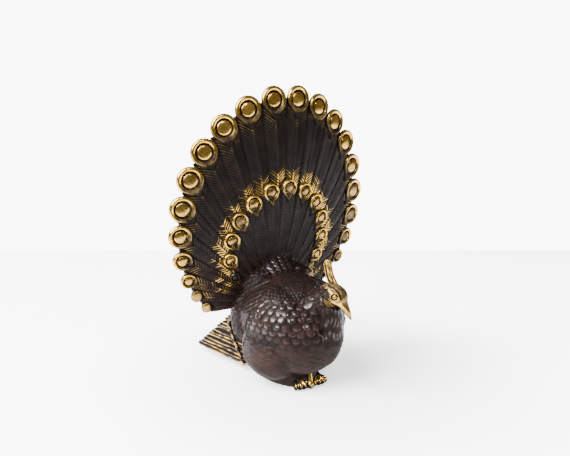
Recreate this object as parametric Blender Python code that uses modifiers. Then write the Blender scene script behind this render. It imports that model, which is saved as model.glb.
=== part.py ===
"""Peacock figurine: one solid brass casting, standing on its feet and a flat keel.

The bird faces -Y, its right side is towards -X, and it stands on the plane z = 0.
The origin is on the ground at the front of the flat sole.  Everything is in metres.
"""

import math

import bmesh
import bpy
import numpy as np
from mathutils import Matrix, Vector

# Driving dimensions
HEIGHT = 0.127              # from the sole to the top of the tallest eye
EYE_COUNT = 22              # eyes round the rim of the train
EYE_RADIUS = 0.0057         # of the tallest eyes, outside their ring
EYE_PROUD = 0.0011          # how far an eye's ring stands off the feathers
COVERT_COUNT = 13           # eyes in the shorter row in front
COVERT_RADIUS = 0.0037
COVERT_PROUD = 0.0009
EYE_TIP = 1.45               # how many radii the ring is drawn out to, towards the root
COVERT_TIP = 2.1
COVERT_STEP = 0.0010        # thickness of the shorter row over the long feathers
EYE_DEPTH = 0.0017           # of an eye behind the face, inside the feathers
TRAIN_RIM_THICKNESS = 0.0024
TRAIN_ROOT_THICKNESS = 0.0070
RIB_HEIGHT = 0.00045        # feather shafts above, and the grooves between below, the mean face
TAIL_RIDGE = 0.00045        # feather ridges along the short tail

# How finely the forms are cut into faces
REMESH_CELL = 0.00075
BODY_FACES_KEPT = 0.040
EYE_SIDES = 12
COVERT_SIDES = 8


def share(*parts):
    """A length, or a point, given as parts of the figure's own height."""
    scaled = tuple(part * HEIGHT for part in parts)
    return scaled[0] if len(scaled) == 1 else Vector(scaled)


# The train: feathers fan out from a root hidden in the back, up to an ellipse of eyes
ROOT_Z = share(0.245)
RIM_HALF_WIDTH = share(0.352)
RIM_TOP = HEIGHT - EYE_RADIUS * 0.95
RIM_BOTTOM = share(0.147)
RIM_SPREAD = 1.71           # radians from the middle to the edge of the outermost feather
RIM_BUNCHING = -0.164       # how much the feathers close up towards the bottom
EDGE_MARGIN = 0.075         # radians of feather beyond the lowest shaft
COVERT_HALF_WIDTH = share(0.185)
COVERT_TOP = share(0.664)
COVERT_BOTTOM = share(0.2676)
COVERT_SPREAD = 1.095
COVERT_BUNCHING = 0.083
COVERT_SKEW = 0.031         # the shorter row was modelled a little to the bird's left
COVERT_LIMIT = 1.05         # radians, where the shorter row ends at each side
COVERT_FADE = 0.20          # radians over which its step runs out
TRAIN_Y = share(0.1200)     # where the middle of the face stands behind the origin


def smoothstep(low, high, value):
    t = min(1.0, max(0.0, (value - low) / (high - low)))
    return t * t * (3 - 2 * t)


def train_face(x, z):
    """Y of the train's front: the sides sweep back, and the top leans forward over the bird."""
    across = x / HEIGHT
    up = z / HEIGHT - 0.583
    bow = 0.67 * across**2 - 1.32 * across**4
    lean = -0.151 * up + 0.267 * up**2
    return TRAIN_Y + HEIGHT * (bow + lean)


def train_normal(x, z):
    """Unit normal of the train's front, pointing forward."""
    d = share(0.002)
    slope_x = (train_face(x + d, z) - train_face(x - d, z)) / (2 * d)
    slope_z = (train_face(x, z + d) - train_face(x, z - d)) / (2 * d)
    return Vector((slope_x, -1.0, slope_z)).normalized()


def reach(angle, half_width, bottom, top):
    """Distance from the feathers' root to an upright ellipse, at an angle from the vertical."""
    half_height = (top - bottom) / 2
    drop = ROOT_Z - (top + bottom) / 2
    a = (math.sin(angle) / half_width) ** 2 + (math.cos(angle) / half_height) ** 2
    b = 2 * math.cos(angle) * drop / half_height**2
    c = (drop / half_height) ** 2 - 1
    return (-b + math.sqrt(max(b * b - 4 * a * c, 0.0))) / (2 * a)


def rim_reach(angle):
    return reach(angle, RIM_HALF_WIDTH, RIM_BOTTOM, RIM_TOP)


def covert_reach(angle):
    held = max(-COVERT_LIMIT, min(COVERT_LIMIT, angle))
    return reach(held, COVERT_HALF_WIDTH, COVERT_BOTTOM, COVERT_TOP)


def spread(position, widest, bunching):
    """Angle of a feather at position -1 to 1 across the train."""
    return widest * position + bunching * position * (1 - position**2)


def rim_angle(number):
    """Angle of a long feather's shaft; halves are the grooves between feathers."""
    middle = (EYE_COUNT + 1) / 2
    return spread((number - middle) / middle, RIM_SPREAD, RIM_BUNCHING)


def covert_angle(number):
    middle = (COVERT_COUNT + 1) / 2
    return COVERT_SKEW + spread((number - middle) / middle, COVERT_SPREAD, COVERT_BUNCHING)


def rim_eye_radius(number):
    middle = (EYE_COUNT + 1) / 2
    side = abs(number - middle) / middle
    return EYE_RADIUS * (1 - 0.56 * smoothstep(0.42, 0.92, side))


def covert_eye_radius(number):
    middle = (COVERT_COUNT + 1) / 2
    side = abs(number - middle) / middle
    return COVERT_RADIUS * (1 - 0.45 * smoothstep(0.60, 0.90, side))


def new_object(name, bm):
    mesh = bpy.data.meshes.new(name)
    bmesh.ops.recalc_face_normals(bm, faces=bm.faces)
    bm.to_mesh(mesh)
    bm.free()
    thing = bpy.data.objects.new(name, mesh)
    bpy.context.scene.collection.objects.link(thing)
    return thing


def bridge(bm, ring_a, ring_b, closed=True):
    """Quads between two rings of vertices with the same count."""
    count = len(ring_a)
    for i in range(count if closed else count - 1):
        j = (i + 1) % count
        bm.faces.new((ring_a[i], ring_a[j], ring_b[j], ring_b[i]))


def train_plate():
    """The fan of feathers: a grid of shafts and grooves, front and back, closed all round."""
    shafts = [rim_angle(k) for k in range(1, EYE_COUNT + 1)]
    grooves = [rim_angle(k + 0.5) for k in range(1, EYE_COUNT)]
    edge = shafts[-1] + EDGE_MARGIN
    lines = sorted([-edge, *shafts, *grooves, edge])
    levels = [1.0 if a in shafts else -1.0 for a in lines]
    levels[0] = levels[-1] = -0.5
    small_shafts = [covert_angle(k) for k in range(1, COVERT_COUNT + 1)]
    small_lines = [covert_angle(k / 2) for k in range(1, 2 * COVERT_COUNT + 2)]
    small_levels = [1.0 if a in small_shafts else -1.0 for a in small_lines]
    columns = sorted(lines + [a for a in small_lines if abs(a) < COVERT_LIMIT])

    bm = bmesh.new()
    front, back = [], []
    for angle in columns:
        rib = RIB_HEIGHT * float(np.interp(angle, lines, levels))
        small_rib = RIB_HEIGHT * float(np.interp(angle, small_lines, small_levels))
        step = COVERT_STEP * (1 - smoothstep(COVERT_LIMIT, COVERT_LIMIT + COVERT_FADE, abs(angle)))
        near, far = covert_reach(angle), rim_reach(angle)
        start = share(0.07)
        edge_of_row = COVERT_RADIUS * 0.4
        rows = [
            (start, step + small_rib),
            ((start + near) / 2, step + small_rib),
            (near - edge_of_row, step + small_rib),
            (near + edge_of_row, rib),
            (near * 0.5 + far * 0.5, rib),
            (far, rib),
        ]
        front_column, back_column = [], []
        for distance, raised in rows:
            x = distance * math.sin(angle)
            z = ROOT_Z + distance * math.cos(angle)
            y = train_face(x, z)
            thickness = TRAIN_RIM_THICKNESS + (TRAIN_ROOT_THICKNESS - TRAIN_RIM_THICKNESS) * (
                1 - smoothstep(0, share(0.33), distance)
            )
            front_column.append(bm.verts.new((x, y - raised, z)))
            back_column.append(bm.verts.new((x, y + thickness + rib, z)))
        front.append(front_column)
        back.append(back_column)
    for i in range(len(columns) - 1):
        bridge(bm, front[i], front[i + 1], closed=False)
        bridge(bm, back[i], back[i + 1], closed=False)
        for j in (0, -1):
            bm.faces.new((front[i][j], front[i + 1][j], back[i + 1][j], back[i][j]))
    for i in (0, -1):
        bridge(bm, front[i], back[i], closed=False)
    return new_object("train_plate", bm)


def teardrop(turn, tip):
    """Radius of a unit circle drawn out to a point at tip radii, on the side where turn is 0."""
    tangent = math.acos(1 / tip)
    turned = abs((turn + math.pi) % (2 * math.pi) - math.pi)
    return 1 / math.cos(tangent - turned) if turned < tangent else 1.0


def eye(name, angle, distance, radius, proud, depth, sides, tip):
    """A round eye with a raised ring, a groove and a domed disc, its ring drawn out towards the root."""
    x = distance * math.sin(angle)
    z = ROOT_Z + distance * math.cos(angle)
    normal = train_normal(x, z)
    inward = Vector((-math.sin(angle), 0.0, -math.cos(angle)))
    inward = (inward - normal * inward.dot(normal)).normalized()
    sideways = normal.cross(inward)
    centre = Vector((x, train_face(x, z), z))
    # share of the radius, height off the face, and whether the ring is drawn out there
    profile = [
        (0.84, -depth, 1.0),
        (1.00, -depth * 0.25, 1.0),
        (0.82, proud, 1.0),
        (0.62, proud * 0.15, 0.0),
        (0.54, proud * 0.75, 0.0),
    ]
    bm = bmesh.new()
    rings = []
    for part, height, drawn in profile:
        ring = []
        for i in range(sides):
            turn = 2 * math.pi * i / sides
            out = radius * part * (teardrop(turn, tip) if drawn else 1.0)
            offset = (inward * math.cos(turn) + sideways * math.sin(turn)) * out
            ring.append(bm.verts.new(centre + offset + normal * height))
        rings.append(ring)
    for ring_a, ring_b in zip(rings, rings[1:]):
        bridge(bm, ring_a, ring_b)
    for ring, height in ((rings[0], -depth), (rings[-1], proud * 0.95)):
        middle = bm.verts.new(centre + normal * height)
        for i in range(sides):
            bm.faces.new((ring[i], ring[(i + 1) % sides], middle))
    return new_object(name, bm)


def ellipsoid(name, centre, radii, rotation=(0.0, 0.0, 0.0)):
    """A ball scaled to three radii, given as shares of the height, and turned."""
    bpy.ops.mesh.primitive_uv_sphere_add(segments=32, ring_count=16, radius=1.0)
    thing = bpy.context.object
    thing.name = name
    placed = Matrix.Translation(share(*centre))
    turned = Matrix.Rotation(rotation[2], 4, "Z") @ Matrix.Rotation(rotation[1], 4, "Y")
    turned = turned @ Matrix.Rotation(rotation[0], 4, "X")
    thing.data.transform(placed @ turned @ Matrix.Diagonal((*share(*radii), 1.0)))
    return thing


def limb(name, start, start_radius, end, end_radius):
    """A tapered round length between two points, all as shares of the height."""
    a, b = share(*start), share(*end)
    bpy.ops.mesh.primitive_cone_add(
        vertices=24, radius1=share(start_radius), radius2=share(end_radius), depth=(b - a).length
    )
    thing = bpy.context.object
    thing.name = name
    turn = (b - a).to_track_quat("Z", "Y").to_matrix().to_4x4()
    thing.data.transform(Matrix.Translation((a + b) / 2) @ turn)
    return thing


# Head: turned to the bird's left and bowed, the beak hanging more steeply than the crown
HEAD = (0.0244, -0.131, 0.3465)
HEAD_RADII = (0.033, 0.0490, 0.037)
HEAD_YAW = math.radians(32)
HEAD_PITCH = math.radians(18)
BEAK_ROOT = (0.0370, -0.151, 0.3320)
BEAK_TIP = (0.0562, -0.1830, 0.2690)
CREST_ROOT = (0.0205, -0.125, 0.372)
CREST_TIP = (0.0113, -0.110, 0.457)


def body_forms():
    """The swelling forms of the bird, which the remesh melts into one skin."""
    forms = [
        ellipsoid("torso", (0, 0.071, 0.205), (0.157, 0.193, 0.166)),
        ellipsoid("breast", (0, -0.016, 0.183), (0.136, 0.112, 0.132)),
        ellipsoid("rump", (0, 0.185, 0.215), (0.160, 0.110, 0.140)),
        ellipsoid("train_base", (0, 0.165, 0.322), (0.118, 0.063, 0.085)),
        ellipsoid("undertail", (0, 0.255, 0.155), (0.116, 0.088, 0.118)),
        ellipsoid("keel", (0, 0.120, 0.031), (0.092, 0.164, 0.066)),
        limb("neck", (0, -0.016, 0.252), 0.079, (0.026, -0.112, 0.328), 0.041),
        limb("throat", (0.030, -0.090, 0.300), 0.048, (0.034, -0.074, 0.175), 0.062),
        ellipsoid("head", HEAD, HEAD_RADII, (HEAD_PITCH, 0.0, HEAD_YAW)),
        limb("beak", BEAK_ROOT, 0.024, BEAK_TIP, 0.003),
    ]
    for side in (-1, 1):
        forms.append(ellipsoid("thigh", (side * 0.083, 0.063, 0.130), (0.092, 0.120, 0.108)))
        forms.append(ellipsoid("wing", (side * 0.067, 0.063, 0.228), (0.102, 0.158, 0.122)))
        forms += foot(side)
    return forms


def foot(side):
    """A stub of leg with three toes in front."""
    ankle = (0.004 + side * 0.033, 0.004, 0.047)
    pieces = [ellipsoid("ankle", ankle, (0.022, 0.028, 0.043))]
    for turn in (-0.5, 0.0, 0.5):
        lean = turn + side * 0.12
        middle = (
            ankle[0] + 0.028 * math.sin(lean),
            ankle[1] - 0.028 * math.cos(lean),
            0.008,
        )
        pieces.append(ellipsoid("toe", middle, (0.0115, 0.028, 0.017), (0, 0, lean)))
    return pieces


def crest():
    """A flat upright leaf on the crown, in the head's own middle plane."""
    root, tip = share(*CREST_ROOT), share(*CREST_TIP)
    up = (tip - root).normalized()
    sideways = Matrix.Rotation(HEAD_YAW, 3, "Z") @ Vector((1, 0, 0))
    forward = sideways.cross(up)
    outline = [(0.0, 1.0), (0.3, 0.95), (0.6, 0.87), (0.85, 0.82), (1.0, 0.47)]
    half_width = share(0.015)
    half_thickness = share(0.0072)
    bm = bmesh.new()
    rings = []
    for along, part in outline:
        middle = root + (tip - root) * along
        ring = []
        for i in range(10):
            turn = 2 * math.pi * i / 10
            offset = forward * (math.cos(turn) * half_width * part)
            ring.append(bm.verts.new(middle + offset + sideways * (math.sin(turn) * half_thickness)))
        rings.append(ring)
    for ring_a, ring_b in zip(rings, rings[1:]):
        bridge(bm, ring_a, ring_b)
    bm.faces.new(rings[0])
    bm.faces.new(rings[-1])
    return new_object("crest", bm)


# The short tail under the train: feathers laid one on another, the lowest reaching furthest back
TAIL_LAYERS = 10
TAIL_FRONT = share(0.20)
TAIL_LOW = share(0.024)
TAIL_HIGH = share(0.215)
TAIL_REACH_LOW = share(0.508)
TAIL_REACH_HIGH = share(0.290)
TAIL_WIDTH_LOW = share(0.143)
TAIL_WIDTH_HIGH = share(0.095)


def tail_outline(level, pull):
    """Half the tail's width and its reach at a level, 0 at the bottom and 1 at the top."""
    half_width = TAIL_WIDTH_LOW + (TAIL_WIDTH_HIGH - TAIL_WIDTH_LOW) * level - pull
    back = TAIL_REACH_LOW + (TAIL_REACH_HIGH - TAIL_REACH_LOW) * level - pull * 2
    return half_width, back


def tail():
    """The layered tail, each layer a ridge round the sides and the end."""
    bm = bmesh.new()
    rings = []
    thick = (TAIL_HIGH - TAIL_LOW) / TAIL_LAYERS
    for layer in range(TAIL_LAYERS):
        for rise, pull in ((0.25, 0.0), (0.9, TAIL_RIDGE * 1.8)):
            half_width, back = tail_outline(layer / (TAIL_LAYERS - 1), pull)
            z = TAIL_LOW + (layer + rise) * thick
            rings.append([bm.verts.new((x, y, z)) for x, y in tail_ring(half_width, back)])
    for ring_a, ring_b in zip(rings, rings[1:]):
        bridge(bm, ring_a, ring_b)
    bm.faces.new(rings[0])
    bm.faces.new(rings[-1])
    return new_object("tail", bm)


def tail_ring(half_width, back):
    """Plan of one layer: narrow where it leaves the body, rounded off at the end."""
    root = half_width * 0.78
    corner = (back - TAIL_FRONT) * 0.12
    side = [
        (root, TAIL_FRONT),
        ((root + half_width) / 2, (TAIL_FRONT + back) / 2),
        (half_width, back - corner),
        (half_width * 0.90, back - corner * 0.3),
        (half_width * 0.45, back),
    ]
    return side + [(-x, y) for x, y in reversed(side)]


def join(name, pieces):
    """Puts several meshes in one object."""
    bm = bmesh.new()
    for piece in pieces:
        bm.from_mesh(piece.data)
        bpy.data.objects.remove(piece)
    return new_object(name, bm)


def settle(thing):
    """Replaces an object's mesh by what its modifiers make of it."""
    graph = bpy.context.evaluated_depsgraph_get()
    mesh = bpy.data.meshes.new_from_object(thing.evaluated_get(graph))
    thing.modifiers.clear()
    thing.data = mesh


def combine(thing, other, operation):
    """Joins other to thing, or cuts it away, and settles the result."""
    change = thing.modifiers.new(operation.lower(), "BOOLEAN")
    change.operation = operation
    change.solver = "MANIFOLD"
    change.object = other
    settle(thing)
    bpy.data.objects.remove(other)


def bird():
    """Body, neck, head and feet as one smooth skin."""
    skin = join("peacock", body_forms())
    remesh = skin.modifiers.new("melt", "REMESH")
    remesh.mode = "VOXEL"
    remesh.voxel_size = REMESH_CELL
    soften = skin.modifiers.new("soften", "SMOOTH")
    soften.factor = 0.5
    soften.iterations = 6
    thin = skin.modifiers.new("thin", "DECIMATE")
    thin.ratio = BODY_FACES_KEPT
    settle(skin)
    return skin


def ground_block():
    """What is under the sole, cut away to leave it flat."""
    bpy.ops.mesh.primitive_cube_add(size=1.0)
    block = bpy.context.object
    deep = share(0.2)
    block.data.transform(Matrix.Diagonal((HEIGHT * 2, HEIGHT * 2, deep, 1.0)))
    block.data.transform(Matrix.Translation((0, 0, -deep / 2)))
    return block


def brass():
    material = bpy.data.materials.new("patinated_brass")
    material.use_nodes = True
    shader = material.node_tree.nodes["Principled BSDF"]
    shader.inputs["Base Color"].default_value = (0.085, 0.055, 0.04, 1)
    shader.inputs["Roughness"].default_value = 0.38
    shader.inputs["Metallic"].default_value = 0.85
    return material


def main():
    for thing in list(bpy.data.objects):
        bpy.data.objects.remove(thing)
    peacock = bird()
    combine(peacock, crest(), "UNION")
    combine(peacock, tail(), "UNION")
    combine(peacock, train_plate(), "UNION")
    for k in range(1, EYE_COUNT + 1):
        angle, radius = rim_angle(k), rim_eye_radius(k)
        boss = eye("eye", angle, rim_reach(angle), radius, EYE_PROUD, EYE_DEPTH, EYE_SIDES, EYE_TIP)
        combine(peacock, boss, "UNION")
    for k in range(1, COVERT_COUNT + 1):
        angle, radius = covert_angle(k), covert_eye_radius(k)
        reach_here, proud = covert_reach(angle), COVERT_STEP + COVERT_PROUD
        boss = eye("covert", angle, reach_here, radius, proud, COVERT_STEP, COVERT_SIDES, COVERT_TIP)
        combine(peacock, boss, "UNION")
    combine(peacock, ground_block(), "DIFFERENCE")
    peacock.data.materials.clear()
    peacock.data.materials.append(brass())
    figure = bpy.data.collections.new("peacock_figurine")
    bpy.context.scene.collection.children.link(figure)
    bpy.context.scene.collection.objects.unlink(peacock)
    figure.objects.link(peacock)


main()
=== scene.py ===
import math

import bmesh
import bpy
import numpy as np
from mathutils import Matrix, Vector


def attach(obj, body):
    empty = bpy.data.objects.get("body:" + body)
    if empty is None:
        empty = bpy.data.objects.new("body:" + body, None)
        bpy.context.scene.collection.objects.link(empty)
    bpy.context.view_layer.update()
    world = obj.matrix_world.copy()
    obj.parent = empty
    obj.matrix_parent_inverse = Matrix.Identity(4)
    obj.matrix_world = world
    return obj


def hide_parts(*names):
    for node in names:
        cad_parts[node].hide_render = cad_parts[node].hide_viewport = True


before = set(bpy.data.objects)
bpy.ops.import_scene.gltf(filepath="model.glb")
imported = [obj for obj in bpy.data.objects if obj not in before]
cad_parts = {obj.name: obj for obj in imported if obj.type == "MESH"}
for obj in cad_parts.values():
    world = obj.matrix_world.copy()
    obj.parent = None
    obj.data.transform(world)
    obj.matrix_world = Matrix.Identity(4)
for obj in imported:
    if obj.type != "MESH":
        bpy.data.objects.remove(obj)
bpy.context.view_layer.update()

TALL = 127.0
ROOT = 31.1
VANES = 22
RIM_SHEET = 2.4
ROOT_SHEET = 7.0
BARB_PITCH = 1.3
BARB_SWEEP = 0.9
BARB_HEIGHT = 0.26
BARE_START, SHEET_START = 14.0, 9.0
# half width, bottom and top of the ovals that the eyes' middles lie on
RIM_OVAL = (44.7, 18.67, 121.6)
COVERT_OVAL = (23.5, 33.99, 84.33)


def ramp(low, high, value):
    """0 up to the low mark, 1 from the high one on, and smooth between them."""
    t = np.clip((value - low) / (high - low), 0.0, 1.0)
    return t * t * (3 - 2 * t)


def train_face(x, z):
    """How far back the train's front stands."""
    across, up = x / TALL, z / TALL - 0.583
    return 15.24 + TALL * (0.67 * across**2 - 1.32 * across**4 - 0.151 * up + 0.267 * up**2)


def reach(angle, half_width, bottom, top):
    """Distance from the root to an upright oval."""
    half = (top - bottom) / 2
    drop = ROOT - (top + bottom) / 2
    a = (np.sin(angle) / half_width) ** 2 + (np.cos(angle) / half) ** 2
    b = 2 * np.cos(angle) * drop / half**2
    return (-b + np.sqrt(np.maximum(b * b - 4 * a * ((drop / half) ** 2 - 1), 0))) / (2 * a)


def rim_reach(angle):
    return reach(angle, *RIM_OVAL)


def covert_reach(angle):
    return reach(np.clip(angle, -1.05, 1.05), *COVERT_OVAL)


def rim_angle(number):
    """How far each long feather leans from upright, in radians, closer set low down."""
    s = (number - 11.5) / 11.5
    return 1.71 * s - 0.164 * s * (1 - s**2)


def on_train(angle, distance, raised):
    """Points of the train at an angle and distance from the root, raised off its face."""
    x, z = distance * np.sin(angle), ROOT + distance * np.cos(angle)
    return np.stack([x, train_face(x, z) - raised, z], axis=-1)


def flare(x, z):
    """How far the roots of the feathers swell forward, like a skirt, over the bird's back."""
    return 7.7 * ramp(-0.45, 0.8, 1 - (x / 11.5) ** 2 - ((z - 39.0) / 12.5) ** 2)


def scatter(*numbers):
    """A repeatable stray number from 0 to 1 for each place."""
    mixed = sum(number * weight for number, weight in zip(numbers, (12.99, 78.23, 37.72)))
    return np.modf(np.abs(np.sin(mixed)) * 4375.9)[0]


def shell(points, faces, polish, relief, kept=1.0):
    """A closed skin that remembers where it is polished and how proud each point stands,
    with its flat places thinned out to the share of faces that is kept."""
    mesh = bpy.data.meshes.new("shell")
    mesh.from_pydata((np.asarray(points) * 0.001).tolist(), [], faces)
    for name, values in (("polish", polish), ("relief", relief)):
        layer = mesh.attributes.new(name, "FLOAT", "POINT")
        filled = np.broadcast_to(np.asarray(values, dtype=np.float32).ravel(), len(points))
        layer.data.foreach_set("value", np.ascontiguousarray(filled))
    bm = bmesh.new()
    bm.from_mesh(mesh)
    bmesh.ops.recalc_face_normals(bm, faces=bm.faces)
    bm.to_mesh(mesh)
    bm.free()
    thing = bpy.data.objects.new("shell", mesh)
    bpy.context.scene.collection.objects.link(thing)
    if kept < 1:
        thing.modifiers.new("thin", "DECIMATE").ratio = kept
        thinned = thing.evaluated_get(bpy.context.evaluated_depsgraph_get())
        mesh = bpy.data.meshes.new_from_object(thinned)
        thing.modifiers.clear()
        thing.data = mesh
    facing = np.empty(len(mesh.vertices) * 3, dtype=np.float32)
    mesh.vertex_normals.foreach_get("vector", facing)
    layer = mesh.attributes.new("skyward", "FLOAT", "POINT")
    layer.data.foreach_set("value", np.ascontiguousarray(facing[2::3]))
    return thing


def grid_faces(rows, columns, start=0):
    """Quads between rows of points, counted from a starting point."""
    corner = np.arange(rows - 1)[:, None] * columns + np.arange(columns - 1)[None, :]
    corner = corner.ravel() + start
    quads = np.stack([corner, corner + 1, corner + columns + 1, corner + columns], axis=1)
    return quads.tolist()


def strip(front, thick, polish, relief):
    """A closed strip: a relief on top, and its two long edges let down and joined below."""
    rows, columns = front.shape[:2]
    let_down = np.array([0.0, thick, 0.0])
    left, right = front[:, 0] + let_down, front[:, -1] + let_down
    points = np.concatenate([front.reshape(-1, 3), left, right])
    size = rows * columns
    faces = grid_faces(rows, columns)
    for i in range(rows - 1):
        a, b = i * columns, (i + 1) * columns
        l, r = size + i, size + rows + i
        faces.append([a, b, l + 1, l])
        faces.append([a + columns - 1, r, r + 1, b + columns - 1])
        faces.append([l, l + 1, r + 1, r])
    for i in (0, rows - 1):
        faces.append([*range(i * columns, (i + 1) * columns), size + rows + i, size + i])
    under = np.zeros(2 * rows)
    return shell(points, faces, np.append(polish, under), np.append(relief, under))


def vane(angle_of, number, reach_of, start, across, section, barbs, lift):
    """One feather as a grid whose rows run along its barbs, swept out from the shaft."""
    shaft = angle_of(number)
    angle = angle_of(number + across / 2)
    tip = reach_of(shaft)
    count = int(round((tip - start) / BARB_PITCH)) * 2 + 1
    along = np.linspace(start, tip, count)[:, None]
    let_go = 1 - np.clip((tip - along) / 7.0, 0, 1)
    swept = along + BARB_SWEEP * np.abs(along * (angle - shaft)) * (1 - let_go)
    distance = swept + (reach_of(angle) - tip) * let_go
    wave = np.array([1.0, -1.0])[np.arange(count) % 2][:, None]
    raised = lift + section + BARB_HEIGHT * wave * barbs * (1 - let_go)
    spread = np.broadcast_to(angle, distance.shape)
    raised = raised + flare(distance * np.sin(spread), ROOT + distance * np.cos(spread))
    front = on_train(spread, distance, raised)
    return front, spread, distance, wave * np.ones_like(distance)


shells = []
ACROSS = np.array([-1.07, -0.8, -0.45, -0.11, 0, 0.11, 0.45, 0.8, 1.07])
SECTION = np.array([-0.32, 0.0, 0.12, 0.0, 0.34, 0.0, 0.12, 0.0, -0.32])
BARBS = np.array([0, 0.8, 1, 0.6, 0, 0.6, 1, 0.8, 0])
for number in range(1, VANES + 1):
    shaft = rim_angle(number)
    hidden = BARE_START if abs(shaft) > 1.12 else float(covert_reach(shaft)) - 6.0
    front, angle, distance, wave = vane(
        rim_angle, number, rim_reach, hidden, ACROSS, SECTION, BARBS, 0.0
    )
    outside = distance - covert_reach(angle) - 1.0
    barb = np.floor(np.arange(len(distance)) / 2)[:, None] + 40 * (ACROSS > 0)
    band = 8.0 + 6.5 * ramp(0.6, 1.1, -angle) + 5.0 * ramp(0.4, 1.0, angle)
    band = band * (0.6 + 0.8 * scatter(barb, number))
    worn = 1 - ramp(0.45 * band, band, outside)
    worn = worn * (1 - 0.95 * ramp(1.18, 1.34, np.abs(angle)))
    worn = worn * (0.7 + 0.3 * scatter(barb, number, 2.0))
    worn = worn * (1 - ramp(0.98, 1.08, np.abs(angle)) * (1 - ramp(3.0, 7.0, outside)))
    ridge = np.clip(wave * (BARBS > 0.3) + (np.abs(ACROSS) < 0.05), 0, 1)
    near_eye = np.exp(-np.clip(rim_reach(angle) - distance - 5.5, 0, 30) / 5.0)
    near_eye = near_eye * (1 - 0.8 * ramp(1.30, 1.50, np.abs(angle)))
    polish = 0.85 * worn * ridge + 0.34 * near_eye * (0.25 + 0.75 * ridge) + 0.20 * ridge
    polish = np.clip(polish, 0, 1)
    relief = np.clip(0.5 + 0.5 * wave * BARBS + 0.4 * SECTION, 0, 1)
    shells.append(strip(front, 1.5, polish, relief))

numbers = np.arange(0.5, VANES + 0.51, 0.25)
angles = rim_angle(numbers)[None, :]
steps = np.linspace(0, 1, 27)[:, None]
distance = SHEET_START + (rim_reach(angles) - SHEET_START) * steps
rib = 0.45 * np.cos(2 * math.pi * numbers)[None, :] * np.ones_like(distance)
sheet = RIM_SHEET + (ROOT_SHEET - RIM_SHEET) * (1 - ramp(0, 0.33 * TALL, distance))
spread = np.broadcast_to(angles, distance.shape)
front, back = on_train(spread, distance, -0.5), on_train(spread, distance, -(sheet + rib))
rows, columns = distance.shape
size = rows * columns
faces = grid_faces(rows, columns) + grid_faces(rows, columns, size)
for i in range(rows - 1):
    for j in (0, columns - 1):
        a = i * columns + j
        faces.append([a, a + columns, a + columns + size, a + size])
for j in range(columns - 1):
    for i in (0, rows - 1):
        a = i * columns + j
        faces.append([a, a + 1, a + 1 + size, a + size])
points = np.concatenate([front.reshape(-1, 3), back.reshape(-1, 3)])
relief = np.append(np.zeros(size), 0.5 + rib.ravel())
shells.append(shell(points, faces, np.append(np.zeros(size), 0.12 * (rib.ravel() > 0.2)), relief))

# The coverts: a shorter row of thirteen feathers laid over the long ones, a step
# thicker than them, cast in one with them.
COVERTS = 13
COVERT_STEP = 1.0


def covert_angle(number):
    """How far each short feather leans from upright, in radians."""
    s = (number - 7) / 7
    return 0.031 + 1.095 * s + 0.083 * s * (1 - s**2)


ACROSS_SHORT = np.array([-1.08, -0.62, -0.14, 0, 0.14, 0.62, 1.08])
SECTION_SHORT = np.array([-0.18, 0.06, 0.0, 0.22, 0.0, 0.06, -0.18])
BARBS_SHORT = np.array([0, 0.9, 0.5, 0, 0.5, 0.9, 0])
for number in range(1, COVERTS + 1):
    front, angle, distance, wave = vane(
        covert_angle,
        number,
        covert_reach,
        SHEET_START,
        ACROSS_SHORT,
        SECTION_SHORT,
        BARBS_SHORT,
        COVERT_STEP,
    )
    inside = covert_reach(angle) - distance
    ridge = np.clip(wave * (BARBS_SHORT > 0.3), 0, 1)
    polish = ridge * (0.65 * np.exp(-np.clip(inside, 0, 60) / 4.0) + 0.16)
    relief = 0.5 + 0.5 * wave * BARBS_SHORT + 0.4 * SECTION_SHORT
    relief = np.clip(relief - 0.10 * (1 - ramp(13, 26, distance)), 0, 1)
    shells.append(strip(front, 2.0, polish, relief))

# The eyes at the feathers' ends: round bosses with a domed disc, a dark sunk ring and
# a broad rim that is drawn out towards the root, left bright by polishing.  The two
# lowest on the bird's right are plain knobs.
RIM_EYE, RIM_EYE_PROUD, RIM_EYE_DEEP, RIM_EYE_DRAWN = 5.7, 1.1, 1.7, 1.5
COVERT_EYE, COVERT_EYE_PROUD, COVERT_EYE_DEEP, COVERT_EYE_DRAWN = 3.7, 0.9, 1.0, 2.1
RIM_EYE_SIDES, COVERT_EYE_SIDES = 36, 28
KNOBS = 2
DISC_EDGE, RIM_INSIDE = 0.55, 0.66


def teardrop(turn, tip):
    """Radius of a unit circle drawn out to a point at tip radii, where turn is 0."""
    tangent = math.acos(1 / tip)
    turned = np.abs((turn + math.pi) % (2 * math.pi) - math.pi)
    drawn = 1 / np.cos(np.minimum(tangent - turned, 1.4))
    return np.where(turned < tangent, drawn, 1.0)


def ring_faces(rows, columns):
    """Quads between closed rings of points, one ring after another."""
    first = np.arange(columns)
    after = (first + 1) % columns
    row = (np.arange(rows - 1) * columns)[:, None]
    corners = [row + first, row + after, row + columns + after, row + columns + first]
    return np.stack(corners, axis=-1).reshape(-1, 4).tolist()


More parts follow.
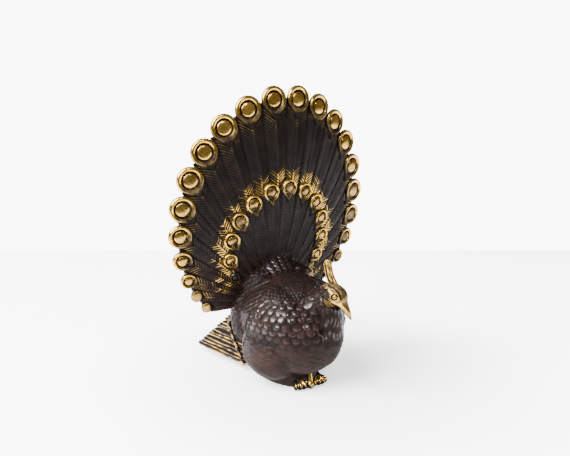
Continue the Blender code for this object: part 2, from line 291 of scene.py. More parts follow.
def eye(angle, distance, radius, proud, depth, tip, sides, bright, all_round, dulling_shade_and_sheen, knob=False):
    """One eye square to the train, its rim worn most on the side away from the root."""
    x, z = distance * math.sin(angle), ROOT + distance * math.cos(angle)
    slope_x = float(train_face(x + 0.1, z) - train_face(x - 0.1, z)) / 0.2
    slope_z = float(train_face(x, z + 0.1) - train_face(x, z - 0.1)) / 0.2
    out = Vector((slope_x, -1.0, slope_z)).normalized()
    inward = Vector((-math.sin(angle), 0.0, -math.cos(angle)))
    inward = (inward - out * inward.dot(out)).normalized()
    sideways = out.cross(inward)
    centre = np.array([x, float(train_face(x, z)), z])
    turn = np.linspace(0, 2 * math.pi, sides, endpoint=False)
    drop = teardrop(turn, tip)
    tail = ramp(1.02, 1.25, drop)
    # share of the radius, share of the drawn-out rim, height, polish and relief of each ring
    disc = [
        (0.20, 0, 0.97, 0.72, 0.7),
        (0.36, 0, 0.86, 0.70, 0.7),
        (0.47, 0, 0.68, 0.72, 0.7),
        (0.53, 0, 0.48, 0.62, 0.6),
        (0.56, 0, 0.12, 0.10, 0.0),
        (0.62, 0, 0.05, 0.0, 0.0),
        (0.66, 0, 0.30, 0.30, 0.2),
    ]
    rim = [
        (0.69, 0.0, 0.62, 0.95, 0.7),
        (0.69, 0.35, 0.95, 1.05, 1.0),
        (0.69, 0.65, 1.00, 1.1, 1.0),
        (0.69, 0.88, 0.70, 1.0, 0.8),
        (0.69, 1.0, 0.18, 0.35, 0.3),
    ]
    rings, polish, relief = [], [], []
    flat = np.ones(sides)
    outer_side = ramp(-0.75, 0.35, -np.cos(turn))
    domed = min(1.0, 0.27 * radius / proud)
    for share, drawn, height, shine, stand in disc + rim:
        if share < DISC_EDGE:
            height = 1 - (1 - height) * domed
        if knob:
            height = math.sqrt(1 - 0.95 * (share + (1 - share) * drawn) ** 2)
            shine, stand = 0.62, 0.4
        out_to = radius * (share + (drop - share) * drawn)
        sunk = 1 - 0.45 * tail * (drawn in (0.0, 0.35)) * (share > RIM_INSIDE)
        rings.append((out_to, proud * height * sunk))
        worn = flat
        if share > RIM_INSIDE:
            least = min(1.0, all_round + (0.5 if drawn == 0.65 else 0.38 if drawn < 0.5 else 0.12))
            worn = (least + (1 - least) * outer_side) * (1 - 0.6 * tail * (drawn > 0.5))
        polish.append(bright * shine * worn * (1 - dulling_shade_and_sheen * (share < DISC_EDGE)))
        relief.append(stand * sunk * (0.35 + 0.65 * worn))
    rings.append((radius * drop, -0.25 * depth * flat))
    rings.append((radius * drop * 0.84, -depth * flat))
    polish += [0.3 * flat, 0.0 * flat]
    relief += [0.2 * flat, 0.0 * flat]
    inward, sideways, out = (np.array(v) for v in (inward, sideways, out))
    points = []
    for out_to, height in rings:
        along_feather = np.outer(np.cos(turn) * out_to, inward)
        across_feather = np.outer(np.sin(turn) * out_to, sideways)
        points.append(centre + (along_feather + across_feather) + np.outer(height * flat, out))
    points.append([centre + out * proud])
    points.append([centre - out * depth])
    polish.append([bright * 0.72 * (1 - dulling_shade_and_sheen)])
    polish.append([0.0])
    relief += [[0.7], [0.0]]
    faces = ring_faces(len(rings), sides)
    last = (len(rings) - 1) * sides
    top = len(rings) * sides
    for i in range(sides):
        j = (i + 1) % sides
        faces.append([i, j, top])
        faces.append([last + i, last + j, top + 1])
    return shell(np.concatenate(points), faces, np.concatenate(polish), np.concatenate(relief))


for number in range(1, VANES + 1):
    angle = float(rim_angle(number))
    distance = float(rim_reach(angle))
    side = abs(number - 11.5) / 11.5
    radius = RIM_EYE * (1 - 0.56 * float(ramp(0.42, 0.92, side)))
    bright = 1.0 - 0.45 * float(ramp(1.30, 1.50, angle))
    # Discs low on the bird's right are duller, partly tarnish and partly painted shade; discs near the
    # top are brightened, a painted highlight of the light from above.
    dulling_shade_and_sheen = 0.34 * float(ramp(0.45, 0.9, angle)) - 0.15 * float(1 - ramp(0.2, 0.8, abs(angle)))
    sizes = (radius, RIM_EYE_PROUD, RIM_EYE_DEEP, RIM_EYE_DRAWN, RIM_EYE_SIDES)
    shells.append(eye(angle, distance, *sizes, bright, 0.0, dulling_shade_and_sheen, number <= KNOBS))
for number in range(1, COVERTS + 1):
    angle = float(covert_angle(number))
    distance = float(covert_reach(angle))
    side = abs(number - 7) / 7
    radius = COVERT_EYE * (1 - 0.45 * float(ramp(0.60, 0.90, side)))
    proud = COVERT_STEP + COVERT_EYE_PROUD
    bright = 0.95 - 0.75 * (number in (1, COVERTS)) - 0.2 * (number in (4, 7))
    sizes = (radius, proud, COVERT_EYE_DEEP, COVERT_EYE_DRAWN, COVERT_EYE_SIDES)
    shells.append(eye(angle, distance, *sizes, bright, 0.3, 0.12))

# The body: breast, back, wings, thighs and rump melted into one plump form, with
# scales carved in the wax, a crease where the wing meets the throat, and a flat sole.
BODY_CELL = 0.33
BODY_KEPT = 0.28
BOLD_SCALE = (3.3, 2.5)
SMALL_SCALE = (1.9, 1.6)
STROKE_PITCH = 1.15
QUILL_PITCH = 2.1


def ball(centre, radii, turned=(0.0, 0.0, 0.0)):
    """A ball or egg, turned about its middle."""
    bpy.ops.mesh.primitive_uv_sphere_add(segments=48, ring_count=24, radius=1.0)
    thing = bpy.context.object
    turn = Matrix.Rotation(turned[2], 4, "Z") @ Matrix.Rotation(turned[1], 4, "Y")
    turn = turn @ Matrix.Rotation(turned[0], 4, "X")
    thing.data.transform(Matrix.Translation(centre) @ turn @ Matrix.Diagonal((*radii, 1.0)))
    return thing


def limb(start, start_radius, end, end_radius, sides=32):
    """A tapered rod from one point to another."""
    a, b = Vector(start), Vector(end)
    bpy.ops.mesh.primitive_cone_add(
        vertices=sides, radius1=start_radius, radius2=end_radius, depth=(b - a).length
    )
    thing = bpy.context.object
    turn = (b - a).to_track_quat("Z", "Y").to_matrix().to_4x4()
    thing.data.transform(Matrix.Translation((a + b) / 2) @ turn)
    return thing


def melt(forms, cell, smoothing):
    """Forms melted into one skin of small faces: points, normals and faces."""
    bm = bmesh.new()
    for form in forms:
        bm.from_mesh(form.data)
        bpy.data.objects.remove(form)
    mesh = bpy.data.meshes.new("melted")
    bm.to_mesh(mesh)
    bm.free()
    thing = bpy.data.objects.new("melted", mesh)
    bpy.context.scene.collection.objects.link(thing)
    remesh = thing.modifiers.new("melt", "REMESH")
    remesh.mode = "VOXEL"
    remesh.voxel_size = cell
    soften = thing.modifiers.new("soften", "SMOOTH")
    soften.factor = 0.5
    soften.iterations = smoothing
    made = thing.evaluated_get(bpy.context.evaluated_depsgraph_get()).to_mesh()
    points = np.empty(len(made.vertices) * 3, dtype=np.float32)
    made.vertices.foreach_get("co", points)
    normals = np.empty(len(made.vertices) * 3, dtype=np.float32)
    made.vertex_normals.foreach_get("vector", normals)
    faces = [list(face.vertices) for face in made.polygons]
    bpy.data.objects.remove(thing)
    return points.reshape(-1, 3).astype(float), normals.reshape(-1, 3).astype(float), faces


def scallops(across, up, wide, long):
    """Height 0 to 1 of scales laid like shingles, each rising to a rounded lower lip."""
    height = np.zeros_like(across)
    for step in (-1, 0, 1):
        row = np.round(up / long) + step
        shifted = across / wide - 0.5 * (row % 2)
        for beside in (-1, 0, 1):
            column = np.round(shifted) + beside
            size = 0.50 + 0.12 * scatter(column, row, 5.0)
            u = (shifted - column + 0.26 * (scatter(column, row) - 0.5)) / size
            v = (up / long - row + 0.30 * (scatter(row, column) - 0.5)) / (1.55 * size)
            lip = np.clip((1 - v) / 2, 0, 1) ** 1.5 * (1 - 0.35 * u**2)
            lip = lip * ramp(1.0, 0.70, np.hypot(u, v))
            height = np.maximum(height, lip * (0.75 + 0.3 * scatter(row, column, 2.0)))
    return height


def near_line(points, line, width):
    """1 on a run of straight pieces, falling to 0 a few widths away."""
    best = np.full(len(points), 1e9)
    for a, b in zip(np.array(line[:-1], float), np.array(line[1:], float)):
        t = np.clip(((points - a) @ (b - a)) / ((b - a) @ (b - a)), 0, 1)
        best = np.minimum(best, np.linalg.norm(points - (a + t[:, None] * (b - a)), axis=1))
    return np.exp(-((best / width) ** 2))


forms = [
    ball((0, 9.0, 26.0), (19.9, 24.5, 21.1)),
    ball((0, -2.0, 23.2), (17.3, 14.2, 16.8)),
    ball((0, 23.5, 27.3), (20.3, 14.0, 17.8)),
    ball((0, 32.4, 19.7), (14.7, 11.2, 15.0)),
    ball((0, 15.2, 3.9), (11.7, 20.8, 8.4)),
    limb((0, -2.0, 32.0), 10.0, (3.3, -14.2, 41.7), 5.2),
    limb((3.8, -11.4, 38.1), 6.1, (4.3, -9.4, 22.2), 7.9),
]
for side in (-1, 1):
    forms.append(ball((side * 10.5, 8.0, 16.5), (11.7, 15.2, 13.7)))
    forms.append(ball((side * 8.5, 8.0, 29.0), (13.0, 20.1, 15.5)))
    forms.append(ball((side * 8.8, 20.5, 41.3), (7.4, 7.8, 7.2)))
points, normals, faces = melt(forms, BODY_CELL, 6)
x, y, z = points.T
from_middle = points - np.array([0, 9.0, 26.0])
round_body = np.arctan2(from_middle[:, 0], -from_middle[:, 1]) * 19.0
up_body = np.arcsin(np.clip(from_middle[:, 2] / np.linalg.norm(from_middle, axis=1), -1, 1)) * 21.0
throat = ramp(-2.6, -1.2, x) * (1 - ramp(9.0, 11.0, x)) * ramp(2.0, -6.0, y) * ramp(22, 27, z)
throat = np.clip(throat, 0, 1)
mirrored = np.stack([-np.abs(x), y, z], axis=1)
arc = [
    (-19.8, 8.5, 36.1),
    (-21.3, 9.1, 32.0),
    (-21.0, 13.5, 24.0),
    (-21.0, 13.3, 17.7),
    (-21.3, 9.8, 12.6),
    (-19.6, 3.0, 10.0),
    (-14.9, -0.6, 7.0),
]
behind_arc = ramp(8.0, 13.5, y - 0.06 * (30 - z) * 1.5)
back_top = ramp(12.5, 15.0, up_body)
belly = 1 - ramp(-5.5, -3.0, up_body)
bold_band = (1 - back_top) * (1 - belly) * (1 - throat) * (1 - behind_arc)
bold = scallops(round_body, up_body, *BOLD_SCALE)
small = scallops(round_body, up_body, *SMALL_SCALE)
across = x / 1.6 + 0.25 * np.sin(z * 0.5)
column = np.round(across)
lines = np.cos(math.pi * (across - column)) ** 2
broken = np.cos(2 * math.pi * (z / 5.5 + scatter(column, 1.0))) + 0.3 * np.sin(z * 1.9)
dashes = lines * ramp(-1.0, 0.6, broken)
strokes = ramp(0.3, 0.9, np.sin(2 * math.pi * z / STROKE_PITCH + 1.3 * np.sin(round_body * 0.5)))
strokes = strokes * ramp(0.0, 0.5, np.sin(round_body * 1.1 + 3.0 * np.floor(z / STROKE_PITCH)))
rear = behind_arc * (1 - back_top)
grain = z - 0.667 * (22 - y) + 0.25 * np.sin(y * 0.9)
wing_mask = ramp(6.0, 10.0, np.abs(x)) * ramp(5.0, 8.0, y)
wing_mask = wing_mask * ramp(32.0, 35.0, z) * (1 - ramp(45.0, 47.0, z))
quills = np.clip(np.cos(2 * math.pi * grain / QUILL_PITCH), -0.4, 1)
fading = 0.20 + 0.80 * ramp(-6.0, 3.0, up_body)
raised = bold_band * fading * (1.25 * bold - 0.38)
raised += np.clip(back_top * 0.75 + rear * 0.65, 0, 0.75) * small * (1 - throat) * ramp(6.0, 9.0, z)
raised += throat * 0.34 * dashes
raised = raised * (1 - 0.7 * wing_mask) + 0.26 * wing_mask * quills
raised += belly * (1 - rear) * ramp(9, 14, z) * 0.22 * strokes
crease = [
    (0.2, -7.8, 45.0),
    (-2.3, -12.6, 42.8),
    (-2.9, -14.2, 39.0),
    (-2.4, -15.0, 34.0),
    (-2.0, -16.2, 28.5),
]
lip = [(-1.8, -7.8, 45.4), (-4.2, -11.8, 42.4), (-4.5, -13.5, 38.6), (-3.9, -14.6, 34.0)]
across_neck = points * np.array([-1.0, 1.0, 1.0]) + np.array([8.0, 0, 0])
groove = np.maximum(near_line(points, crease, 0.95), near_line(across_neck, crease, 0.95))
raised -= 1.25 * groove
neck_lip = near_line(points, lip, 0.60)
raised += 0.70 * neck_lip
outline_arc = near_line(mirrored, arc, 0.45)
raised += 0.30 * near_line(mirrored, arc, 0.9) - 0.75 * outline_arc
leaves = [
    (-8.8, 16.1, 46.5),
    (-5.9, 16.6, 48.6),
    (-11.5, 16.0, 43.4),
    (-9.5, 13.5, 44.1),
    (-13.5, 17.5, 41.5),
    (-17.6, 22.6, 35.6),
    (-15.8, 19.8, 39.0),
    (-19.0, 24.0, 31.5),
]
leaf_tops = np.zeros(len(points))
for leaf in np.array(leaves):
    swept = np.array([0.83, -0.39, 0.39])
    leaf_tops = np.maximum(leaf_tops, near_line(mirrored, [leaf - swept, leaf + swept], 0.75))
raised += 0.85 * leaf_tops
cleft = [(-13.9, -8.7, 17.8), (-12.9, -6.6, 13.4), (-13.1, -4.6, 10.1), (-9.0, -6.0, 7.5)]
raised -= 0.5 * near_line(mirrored, cleft, 1.2)
shoulder = near_line(points, [(-9.5, -8.5, 40.5), (-7.2, -12.0, 39.0), (-5.8, -13.0, 37.0)], 2.0)
raised += 0.7 * shoulder * small * (1 - throat)
raised *= ramp(0.5, 2.0, z)
relief = 0.42 + 0.15 * wing_mask * quills + bold_band * (1.3 * bold * fading - 0.25)
relief = relief + throat * (0.8 * dashes - 0.15)
relief = relief + (back_top + rear) * 0.6 * (small - 0.45) + belly * (0.05 + 0.15 * strokes)
# The shoulder's relief is lowered although it stands proud, so it takes the dark hollow colour and no
# coat: painted shade over the window's highlight there.
relief = relief - groove - 0.5 * outline_arc + 0.3 * neck_lip + 0.5 * leaf_tops - 0.4 * shoulder
relief = np.clip(relief, 0, 1)
points = points + normals * raised[:, None]
points[:, 2] = np.maximum(points[:, 2], 0.0)
worn_spots = near_line(mirrored, [(-17.0, -3.0, 13.0), (-19.0, 4.0, 16.0)], 4.0) * belly
worn_front = near_line(mirrored, [(-5.0, -15.0, 19.0), (0.0, -16.0, 18.0)], 2.5) * belly
worn_spots = np.maximum(worn_spots, worn_front)
polish = 0.02 + 0.12 * relief * (1 - belly) + 0.20 * worn_spots
shells.append(shell(points, faces, polish, relief, BODY_KEPT))

# Lumps like small scales hide the joint between the body and the tail, rubbed bright.
LUMP_CELL = 0.36
LUMP_PITCH = 1.75
LUMPS_KEPT = 0.6
joint = np.array([
    (-12.6, 41.5, 20.5),
    (-13.3, 39.9, 18.0),
    (-13.3, 35.5, 12.1),
    (-13.6, 30.8, 7.8),
    (-14.2, 26.3, 3.7),
])
lengths = np.append(0, np.cumsum(np.linalg.norm(np.diff(joint, axis=0), axis=1)))
forms = []
for side in (-1, 1):
    for row, shift in ((0, 0.0), (1, 0.8)):
        for along in np.arange(0.5 + shift, lengths[-1], LUMP_PITCH):
            spot = [float(np.interp(along, lengths, joint[:, axis])) for axis in range(3)]
            lump_at = (-side * (spot[0] - 0.1 - 0.5 * row), spot[1] - 1.3 * row, max(spot[2], 1.2))
            forms.append(ball(lump_at, (0.75, 1.15, 0.72), (math.radians(-35), 0, 0)))
points, normals, faces = melt(forms, LUMP_CELL, 2)
points[:, 2] = np.maximum(points[:, 2], 0.0)
shine = 0.72 * ramp(0.2, 0.8, np.abs(normals[:, 0])) * (0.55 + 0.45 * ramp(24, 18, points[:, 2]))
uneven = np.sin(points[:, 2] * 1.9) + 0.5 * np.sin(points[:, 2] * 0.7)
shine = shine * (0.35 + 0.65 * ramp(-0.5, 0.3, uneven))
shells.append(shell(points, faces, shine, 0.3 + 0.6 * shine, LUMPS_KEPT))

# The head and beak: a small brass head turned to the bird's left and bowed, with a
# ringed eye, a brow and a hooked beak, filed smooth and polished.
HEAD_CELL = 0.22
HEAD_KEPT = 0.35
HEAD_STROKES = 4
HEAD_TURN = math.radians(32)
HEAD = np.array([3.5, -17.3, 43.8])
forward = np.array([math.sin(HEAD_TURN), -math.cos(HEAD_TURN), 0.0])
leftward = np.array([math.cos(HEAD_TURN), math.sin(HEAD_TURN), 0.0])
forms = [
    ball((3.1, -16.6, 44.0), (4.2, 6.2, 4.7), (math.radians(18), 0, HEAD_TURN)),
    limb((4.7, -19.2, 42.2), 3.05, (7.1, -23.2, 34.2), 0.45, 6),
    limb((1.5, -9.5, 38.5), 6.0, (3.3, -14.2, 41.9), 4.9),
]
points, normals, faces = melt(forms, HEAD_CELL, 4)
ahead = (points - HEAD) @ forward
beside = np.abs((points - HEAD) @ leftward)
above = points[:, 2] - HEAD[2]
from_eye = np.hypot(ahead - 0.9, above - 0.2)
at_side = ramp(1.2, 2.2, beside)
ball_of_eye = np.sqrt(np.clip(1 - (from_eye / 0.85) ** 2, 0, 1))
socket = np.exp(-(((from_eye - 1.15) / 0.26) ** 2))
lid = np.exp(-(((from_eye - 1.65) / 0.24) ** 2))
flat = np.stack([ahead, above, 0 * above], axis=1)
brow = near_line(flat, [(-1.6, 2.9, 0), (0.5, 1.6, 0), (1.6, 0.9, 0), (2.3, -0.9, 0)], 0.42) * at_side
cheek = near_line(flat, [(-1.4, -1.3, 0), (1.0, -2.4, 0), (3.6, -4.2, 0)], 0.50) * at_side
facet = near_line(flat, [(3.0, -2.6, 0), (5.0, -4.9, 0), (7.4, -8.2, 0)], 0.55) * ramp(0.2, 0.6, beside)
gape = near_line(flat, [(0.2, -3.4, 0), (2.4, -4.9, 0), (6.2, -9.3, 0)], 0.30) * ramp(0.2, 0.6, beside)
strokes = 0 * above
for step in range(HEAD_STROKES):
    start = (-5.2 + 0.2 * step, 3.4 - 1.25 * step, 0)
    end = (-1.5 + 0.3 * step, 1.6 - 1.1 * step, 0)
    strokes = np.maximum(strokes, near_line(flat, [start, end], 0.26) * at_side)
neck_rows = ramp(-3.2, -4.2, ahead) * np.sin(2 * math.pi * (above * 0.55 - ahead * 0.45))
crown = near_line(flat, [(3.4, -0.6, 0), (2.6, 1.9, 0), (0.4, 3.6, 0), (-2.4, 4.4, 0)], 0.24)
crown = np.maximum(crown, near_line(flat, [(0.2, 2.6, 0), (-2.2, 3.0, 0), (-4.0, 2.8, 0)], 0.22))
raised = at_side * (0.50 * ball_of_eye - 0.45 * socket + 0.20 * lid) + 0.42 * brow + 0.25 * cheek
raised += 0.30 * facet - 0.35 * gape - 0.40 * strokes + 0.16 * neck_rows
raised -= 0.22 * crown
points = points + normals * raised[:, None]
dark_neck = ramp(-4.6, -6.2, ahead + 0.45 * above)
rubbed = brow + cheek + facet + lid * at_side + ball_of_eye * at_side * 0.3
# Polish falls a little towards the top of the head: painted shade that tones down the window's
# highlight on the crown.
polish = 0.46 - 0.04 * ramp(0.8, 2.8, above) - 0.28 * crown + 0.50 * np.clip(rubbed, 0, 1)
polish = polish - at_side * socket - 0.8 * gape - 0.9 * strokes
polish = polish - dark_neck - 0.25 * np.clip(-neck_rows, 0, 1)
polish = np.clip(polish, 0, 1)
relief = np.clip(0.44 - at_side * socket - gape - strokes - 0.4 * crown, 0, 1)
shells.append(shell(points, faces, polish, relief, HEAD_KEPT))

# The crest: a flat leaf standing on the crown, with raised edges and a row of small
# pits down each face.
crest_root, crest_tip = np.array([2.6, -15.9, 46.6]), np.array([1.43, -14.0, 58.1])
up = (crest_tip - crest_root) / np.linalg.norm(crest_tip - crest_root)
ahead_of_crest = np.cross(leftward, up)
rows, sides = 44, 40
along = np.linspace(0, 1, rows)[:, None]
turn = np.linspace(0, 2 * math.pi, sides, endpoint=False)[None, :]
half_wide = np.interp(along, [0, 0.3, 0.6, 0.86, 0.95, 1.0], [2.05, 1.85, 1.75, 1.65, 1.3, 0.6])
u = np.sign(np.cos(turn)) * np.abs(np.cos(turn)) ** 0.8
v = np.sign(np.sin(turn)) * np.abs(np.sin(turn)) ** 0.6
lumps = 0.5 + 0.5 * np.cos(2 * math.pi * (along * 3.2 - 0.1))
back_rim = np.exp(-(((u + 0.80) / 0.22) ** 2)) * np.ones_like(along)
front_rim = np.exp(-(((u - 0.86) / 0.20) ** 2)) * np.ones_like(along)
groove = np.exp(-(((u + 0.40) / 0.12) ** 2)) * (1 - ramp(0.80, 0.92, along))
half_thick = 0.56 + 0.40 * back_rim + 0.28 * front_rim - 0.16 * groove
half_thick = half_thick + 0.26 * lumps * np.exp(-(((u - 0.2) / 0.30) ** 2))
lean = 1.1 * (1 - ramp(0.0, 0.55, along))
middle = crest_root + along[..., None] * (crest_tip - crest_root) + lean[..., None] * ahead_of_crest
points = middle + (u * half_wide)[..., None] * ahead_of_crest + (v * half_thick)[..., None] * leftward
points = points.reshape(-1, 3)
faces = ring_faces(rows, sides)
faces.append(list(range(sides)))
faces.append(list(range((rows - 1) * sides, rows * sides)))
pits = (1 - lumps) * np.exp(-(((u - 0.2) / 0.35) ** 2)) * (1 - ramp(0.84, 0.95, along))
polish = np.clip(0.72 + 0.4 * back_rim + 0.3 * front_rim - 0.7 * groove - 0.42 * pits, 0, 1)
relief = np.clip(0.8 - groove - 0.6 * pits, 0, 1)
shells.append(shell(points, faces, polish.ravel(), relief.ravel()))

# The feet: four stubby toes each in front of the flat sole, bright on top and dark
# between, and a bright upright strip between the legs.
FOOT_CELL = 0.23
FOOT_KEPT = 0.35
TOE_LEANS = (-0.48, -0.16, 0.16, 0.48)
forms = []
for side in (-1, 1):
    ankle = (0.5 + side * 4.2, 0.5)
    forms.append(ball((ankle[0], ankle[1] + 0.8, 6.0), (3.4, 3.6, 6.6)))
    forms.append(ball((ankle[0], ankle[1] - 2.6, 2.6), (2.9, 3.0, 3.3)))
    for toe_lean in TOE_LEANS:
        lean = toe_lean + side * 0.10
        toward_tip = Vector((math.sin(lean), -math.cos(lean), 0))
        reached = Vector((ankle[0], ankle[1], 0)) + toward_tip * 4.4
        forms.append(ball((reached.x, reached.y, 2.0), (0.98, 3.1, 2.1), (0, 0, lean)))
forms.append(limb((-0.7, -6.2, 0.8), 1.5, (-0.1, -4.6, 8.6), 0.9))
forms.append(ball((-0.6, -6.6, 2.0), (1.5, 1.0, 1.7)))
points, normals, faces = melt(forms, FOOT_CELL, 3)
points[:, 2] = np.maximum(points[:, 2], 0.0)
high = points[:, 2]
bright = ramp(0.2, 0.9, high) * ramp(0.25, 0.70, normals[:, 2] * 0.8 - normals[:, 1] * 0.5)
off_strip = np.abs(points[:, 0] + 0.4) > 1.0
bright = bright * ramp(-4.0, -5.2, points[:, 1]) * (1 - ramp(5.0, 7.5, high) * off_strip)
shells.append(shell(points, faces, 0.95 * bright, 0.2 + 0.7 * bright, FOOT_KEPT))

# The short tail under the train: feathers laid one on another like shingles, the
# lowest reaching furthest back, their edges rubbed bright.
LAYERS = 15
TAIL_FRONT, TAIL_LOW, TAIL_HIGH = 25.4, 3.05, 27.3
LOWEST_WIDE, HIGHEST_WIDE = 18.16, 12.07
LOWEST_BACK, HIGHEST_BACK = 64.5, 36.8
# up each layer's edge: share of its height, how far it is drawn in, and its polish
LAYER_EDGE = (
    (0.05, 0.9, 0.0),
    (0.25, 0.1, 0.7),
    (0.5, 0.0, 1.0),
    (0.75, 0.12, 0.7),
    (0.95, 0.9, 0.0),
)
thick = (TAIL_HIGH - TAIL_LOW) / LAYERS
stray = [0.55 * thick * (float(scatter(layer * 1.0, 3.0)) - 0.5) for layer in range(LAYERS)]
levels = []
for layer in range(LAYERS):
    for rise, pull, shine in LAYER_EDGE:
        levels.append((layer, rise, pull, shine))
outline = []
for layer, rise, pull, shine in levels:
    level = layer / (LAYERS - 1)
    half_wide = LOWEST_WIDE + (HIGHEST_WIDE - LOWEST_WIDE) * level - pull * 0.85
    back = LOWEST_BACK + (HIGHEST_BACK - LOWEST_BACK) * level - pull * 1.3
    corner = (back - TAIL_FRONT) * 0.12
    bend = np.linspace(0, 1, 14)
    wide = np.interp(bend, [0, 1], [0.78, 1.0]) * half_wide
    run = TAIL_FRONT + (back - corner - TAIL_FRONT) * bend
    swing = np.linspace(0, math.pi / 2, 6)[1:]
    round_x = half_wide * (0.86 + 0.14 * np.cos(swing))
    round_y = back - corner + corner * 0.8 * np.sin(swing)
    end_x = half_wide * np.linspace(0.86, 0.0, 10)[1:-1]
    end_y = back - corner * 0.2 + corner * 0.2 * (1 - (end_x / half_wide / 0.86) ** 2)
    end_y = end_y - pull * 0.5 + 0.35 * np.cos(2 * math.pi * end_x / 4.2)
    side_x = np.concatenate([wide, round_x, end_x])
    side_y = np.concatenate([run, round_y, end_y])
    bent = 0.16 * np.sin(np.arange(len(side_x)) * 0.55 + 2.1 * layer)
    height = TAIL_LOW + (layer + rise) * thick + stray[layer] * (0 < layer < LAYERS - 1)
    ring_x = np.concatenate([side_x, [0.0], -side_x[::-1]])
    ring_y = np.concatenate([side_y, [back + 0.35 - pull * 0.5], side_y[::-1]])
    ring_z = height + np.concatenate([bent, [bent[-1]], bent[::-1]])
    outline.append(np.stack([ring_x, ring_y, ring_z], axis=1))
outline = np.array(outline)
rows, columns = outline.shape[:2]
faces = ring_faces(rows, columns)
faces.append(list(range(columns)))
faces.append(list(range((rows - 1) * columns, rows * columns)))
shine = np.array([level[3] for level in levels])[:, None] * np.ones((1, columns))
low = np.array([level[0] for level in levels])[:, None] / (LAYERS - 1)
near_tip = ramp(50, 62, outline[..., 1])
ragged = scatter(np.floor(outline[..., 1] / 2.3 + 3 * low), np.floor(low * 40) + 0 * outline[..., 1])
polish = shine * (1 - 0.30 * low) * (1 - 0.50 * near_tip) * (0.10 + 1.10 * ragged)
relief = 0.15 + 0.8 * shine
shells.append(shell(outline.reshape(-1, 3), faces, polish.ravel(), relief.ravel()))

# The finished casting: every form above is one solid piece of brass, patinated dark
# brown-black, then rubbed back to bright metal on the eyes, head, feet and tail.
bm = bmesh.new()
for part in shells:
    bm.from_mesh(part.data)
    bpy.data.objects.remove(part)
mesh = bpy.data.meshes.new("peacock_casting")
bm.to_mesh(mesh)
bm.free()
casting = bpy.data.objects.new("peacock_casting", mesh)
bpy.context.scene.collection.objects.link(casting)
mesh.polygons.foreach_set("use_smooth", np.ones(len(mesh.polygons), dtype=bool))


class Value:
    """A shader socket that Python's own operators work on."""

    def __init__(self, tree, socket):
        self.tree, self.socket = tree, socket

    def math(self, operation, *others):
        values = dict(enumerate((self, *others)))
        return node(self.tree, "ShaderNodeMath", {"operation": operation}, values)

    def __add__(self, other):
        return self.math("ADD", other)

    def __sub__(self, other):
        return self.math("SUBTRACT", other)

    def __mul__(self, other):
        return self.math("MULTIPLY", other)

    def __rsub__(self, other):
        return node(self.tree, "ShaderNodeMath", {"operation": "SUBTRACT"}, {0: other, 1: self})

    __radd__ = __add__
    __rmul__ = __mul__


def node(tree, kind, settings, values, output=0):
    """Adds a node, sets it up, and feeds its sockets with numbers or other values."""
    made = tree.nodes.new(kind)
    for name, setting in settings.items():
        setattr(made, name, setting)
    for name, value in values.items():
        if isinstance(value, Value):
            tree.links.new(value.socket, made.inputs[name])
        else:
            made.inputs[name].default_value = value
    return Value(tree, made.outputs[output])


# the deeper and the paler tone of each colour
GOLD = ((0.42, 0.236, 0.032), (0.65, 0.390, 0.070))
TARNISH = ((0.140, 0.088, 0.028), (0.260, 0.166, 0.053))
UMBER = ((0.0112, 0.0066, 0.0058), (0.0200, 0.0100, 0.0080))
BLACK_BROWN = ((0.0098, 0.0073, 0.0065), (0.0158, 0.0111, 0.0092))
HOLLOWS = (0.0035, 0.0026, 0.0026)
finish = bpy.data.materials.new("patinated_brass")
finish.use_nodes = True
tree = finish.node_tree
surface = tree.nodes["Principled BSDF"]


def blend(factor, first, second):
    """One colour passing into another."""
    made = tree.nodes.new("ShaderNodeMix")
    made.data_type = "RGBA"
    tree.links.new(factor.socket, made.inputs[0])
    for socket, colour in ((made.inputs[6], first), (made.inputs[7], second)):
        if isinstance(colour, Value):
            tree.links.new(colour.socket, socket)
        else:
            socket.default_value = (*colour, 1)
    return Value(tree, made.outputs[2])


def within(value, low, high):
    """0 below the low mark, 1 above the high one, and smooth between them."""
    limits = {"Value": value, "From Min": low, "From Max": high}
    return node(tree, "ShaderNodeMapRange", {"interpolation_type": "SMOOTHSTEP"}, limits)


on_bird = node(tree, "ShaderNodeTexCoord", {}, {}, "Object")


def noise(scale, detail=3.0, roughness=0.55):
    values = {"Vector": on_bird, "Scale": scale, "Detail": detail, "Roughness": roughness}
    return node(tree, "ShaderNodeTexNoise", {}, values)


polished = node(tree, "ShaderNodeAttribute", {"attribute_name": "polish"}, {}, "Fac")
proud = node(tree, "ShaderNodeAttribute", {"attribute_name": "relief"}, {}, "Fac")
blotch, speck, streak = noise(180), noise(900, 4.0), noise(2600, 2.0)
bare = within(polished + (blotch - 0.5) * 0.40 + (speck - 0.5) * 0.25, 0.30, 0.62)
gold = blend(within(blotch, 0.35, 0.7), *GOLD)
tarnish = blend(within(blotch, 0.35, 0.75), *TARNISH)
metal = blend(within(polished, 0.55, 0.95), tarnish, gold)
height = node(tree, "ShaderNodeSeparateXYZ", {}, {"Vector": on_bird}, "Z")
umber = blend(within(blotch, 0.35, 0.7), *UMBER)
black_brown = blend(within(blotch, 0.35, 0.7), *BLACK_BROWN)
raised_tone = blend(within(height, 0.046, 0.060), umber, black_brown)
patina = blend(within(proud, 0.1, 0.7), HOLLOWS, raised_tone)
colour = blend(bare, patina, metal)
tree.links.new(colour.socket, surface.inputs["Base Color"])
tree.links.new((bare * 0.95).socket, surface.inputs["Metallic"])
surface.inputs["Specular IOR Level"].default_value = 0.05
skyward = node(tree, "ShaderNodeAttribute", {"attribute_name": "skyward"}, {}, "Fac")
sky = within(skyward, -0.30, 0.25)
gloss = 0.22 + (speck - 0.5) * 0.14 + (1 - proud) * 0.20
gloss = gloss + (1 - sky) * (1 - bare) * 0.30 - bare * 0.06
tree.links.new(gloss.socket, surface.inputs["Roughness"])
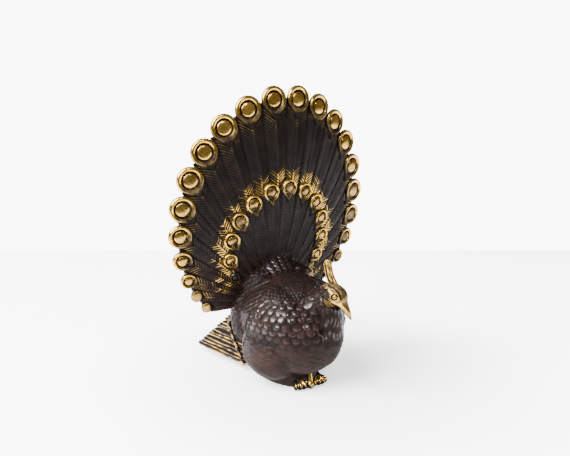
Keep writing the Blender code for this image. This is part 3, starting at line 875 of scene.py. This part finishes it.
flattened = node(
    tree, "ShaderNodeVectorMath", {"operation": "MULTIPLY"}, {0: on_bird, 1: (1.0, 1.0, 2.6)}
)
fleck = node(tree, "ShaderNodeTexNoise", {}, {"Vector": flattened, "Scale": 520.0, "Detail": 1.0})
coat = within(proud, 0.45, 0.85) * (1 - bare) * sky * (0.15 + 0.85 * within(fleck, 0.42, 0.54))
tree.links.new(coat.socket, surface.inputs["Coat Weight"])
surface.inputs["Coat Roughness"].default_value = 0.14
bump = node(
    tree,
    "ShaderNodeBump",
    {},
    {"Strength": 0.12, "Distance": 0.0003, "Height": speck * 0.7 + streak * 0.3},
)
tree.links.new(bump.socket, surface.inputs["Normal"])
mesh.materials.append(finish)
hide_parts("peacock")
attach(casting, "root")

# The studio: a white table top that glows by itself, its glow painted dimmer beside the
# bird as a painted shadow, whose far edge shows as a faint line, a bright wall beyond it,
# a dim room behind the camera, one large window to the upper left and a small lamp to the upper right.
AZIMUTH, ELEVATION, AWAY = math.radians(-34.45), math.radians(12.0), 0.3418
looked_at = Vector((0.00427, 0.020, 0.06494))
toward_eye = Vector((
    math.sin(AZIMUTH) * math.cos(ELEVATION),
    -math.cos(AZIMUTH) * math.cos(ELEVATION),
    math.sin(ELEVATION),
))
to_right = Vector((math.cos(AZIMUTH), math.sin(AZIMUTH), 0))
to_front = Vector((math.sin(AZIMUTH), -math.cos(AZIMUTH), 0))
TABLE_BEHIND, TABLE_BEFORE, TABLE_WIDE = 0.227, 0.115, 1.2
WALL_DIP = math.radians(4)

bpy.ops.mesh.primitive_plane_add(size=1.0)
table = bpy.context.object
table.name = "table"
deep = TABLE_BEHIND + TABLE_BEFORE
middle = Vector((looked_at.x, looked_at.y, 0)) + to_front * (TABLE_BEFORE - deep / 2)
turned = Matrix.Translation(middle) @ Matrix.Rotation(AZIMUTH, 4, "Z")
table.data.transform(turned @ Matrix.Diagonal((TABLE_WIDE, deep, 1, 1)))
white = bpy.data.materials.new("table_white")
white.use_nodes = True
paint = white.node_tree.nodes["Principled BSDF"].inputs
paint["Base Color"].default_value = (0.95, 0.95, 0.95, 1)
paint["Roughness"].default_value = 0.8
# The table's own glow, weak beside the bird and strong further off: a painted shadow on a glowing
# table.
beside_bird = Vector((0.012, 0.005, 0.0))
away = node(
    white.node_tree,
    "ShaderNodeVectorMath",
    {"operation": "DISTANCE"},
    {0: node(white.node_tree, "ShaderNodeTexCoord", {}, {}, "Object"), 1: beside_bird},
    "Value",
)
glow = node(
    white.node_tree,
    "ShaderNodeMapRange",
    {"interpolation_type": "SMOOTHSTEP"},
    {"Value": away, "From Min": 0.03, "From Max": 0.12, "To Min": 1.2, "To Max": 4.0},
)
white.node_tree.links.new(glow.socket, paint["Emission Color"])
paint["Emission Strength"].default_value = 1.0
table.data.materials.append(white)

world = bpy.data.worlds.new("studio")
bpy.context.scene.world = world
world.use_nodes = True
room = world.node_tree
direction = node(room, "ShaderNodeTexCoord", {}, {}, "Generated")
ahead_of_eye = -to_front * math.cos(WALL_DIP) - Vector((0, 0, math.sin(WALL_DIP)))
toward_wall = node(
    room, "ShaderNodeVectorMath", {"operation": "DOT_PRODUCT"}, {0: direction, 1: ahead_of_eye}, "Value"
)
wall = node(
    room,
    "ShaderNodeMapRange",
    {"interpolation_type": "SMOOTHSTEP"},
    {"Value": toward_wall, "From Min": 0.85, "From Max": 0.92, "To Min": 0.20, "To Max": 9.5},
)
room.links.new(wall.socket, room.nodes["Background"].inputs["Strength"])
room.nodes["Background"].inputs["Color"].default_value = (1, 1, 1, 1)


def softbox(name, right, up, near, size, power):
    """A square light placed as seen from the camera, aimed at the bird."""
    lamp = bpy.data.lights.new(name, "AREA")
    lamp.shape, lamp.size, lamp.energy = "SQUARE", size, power
    light = bpy.data.objects.new(name, lamp)
    light.location = looked_at + to_right * right + Vector((0, 0, up)) + to_front * near
    light.rotation_euler = (light.location - looked_at).to_track_quat("Z", "Y").to_euler()
    bpy.context.scene.collection.objects.link(light)


softbox("window", -0.48, 0.52, 0.34, 0.75, 54.0)
softbox("lamp", 0.22, 0.62, 0.62, 0.16, 4.0)

eye_piece = bpy.data.cameras.new("camera")
eye_piece.lens, eye_piece.sensor_width, eye_piece.clip_start = 49.2, 36.0, 0.01
camera = bpy.data.objects.new("camera", eye_piece)
camera.location = looked_at + toward_eye * AWAY
camera.rotation_euler = toward_eye.to_track_quat("Z", "Y").to_euler()
bpy.context.scene.collection.objects.link(camera)
bpy.context.scene.camera = camera
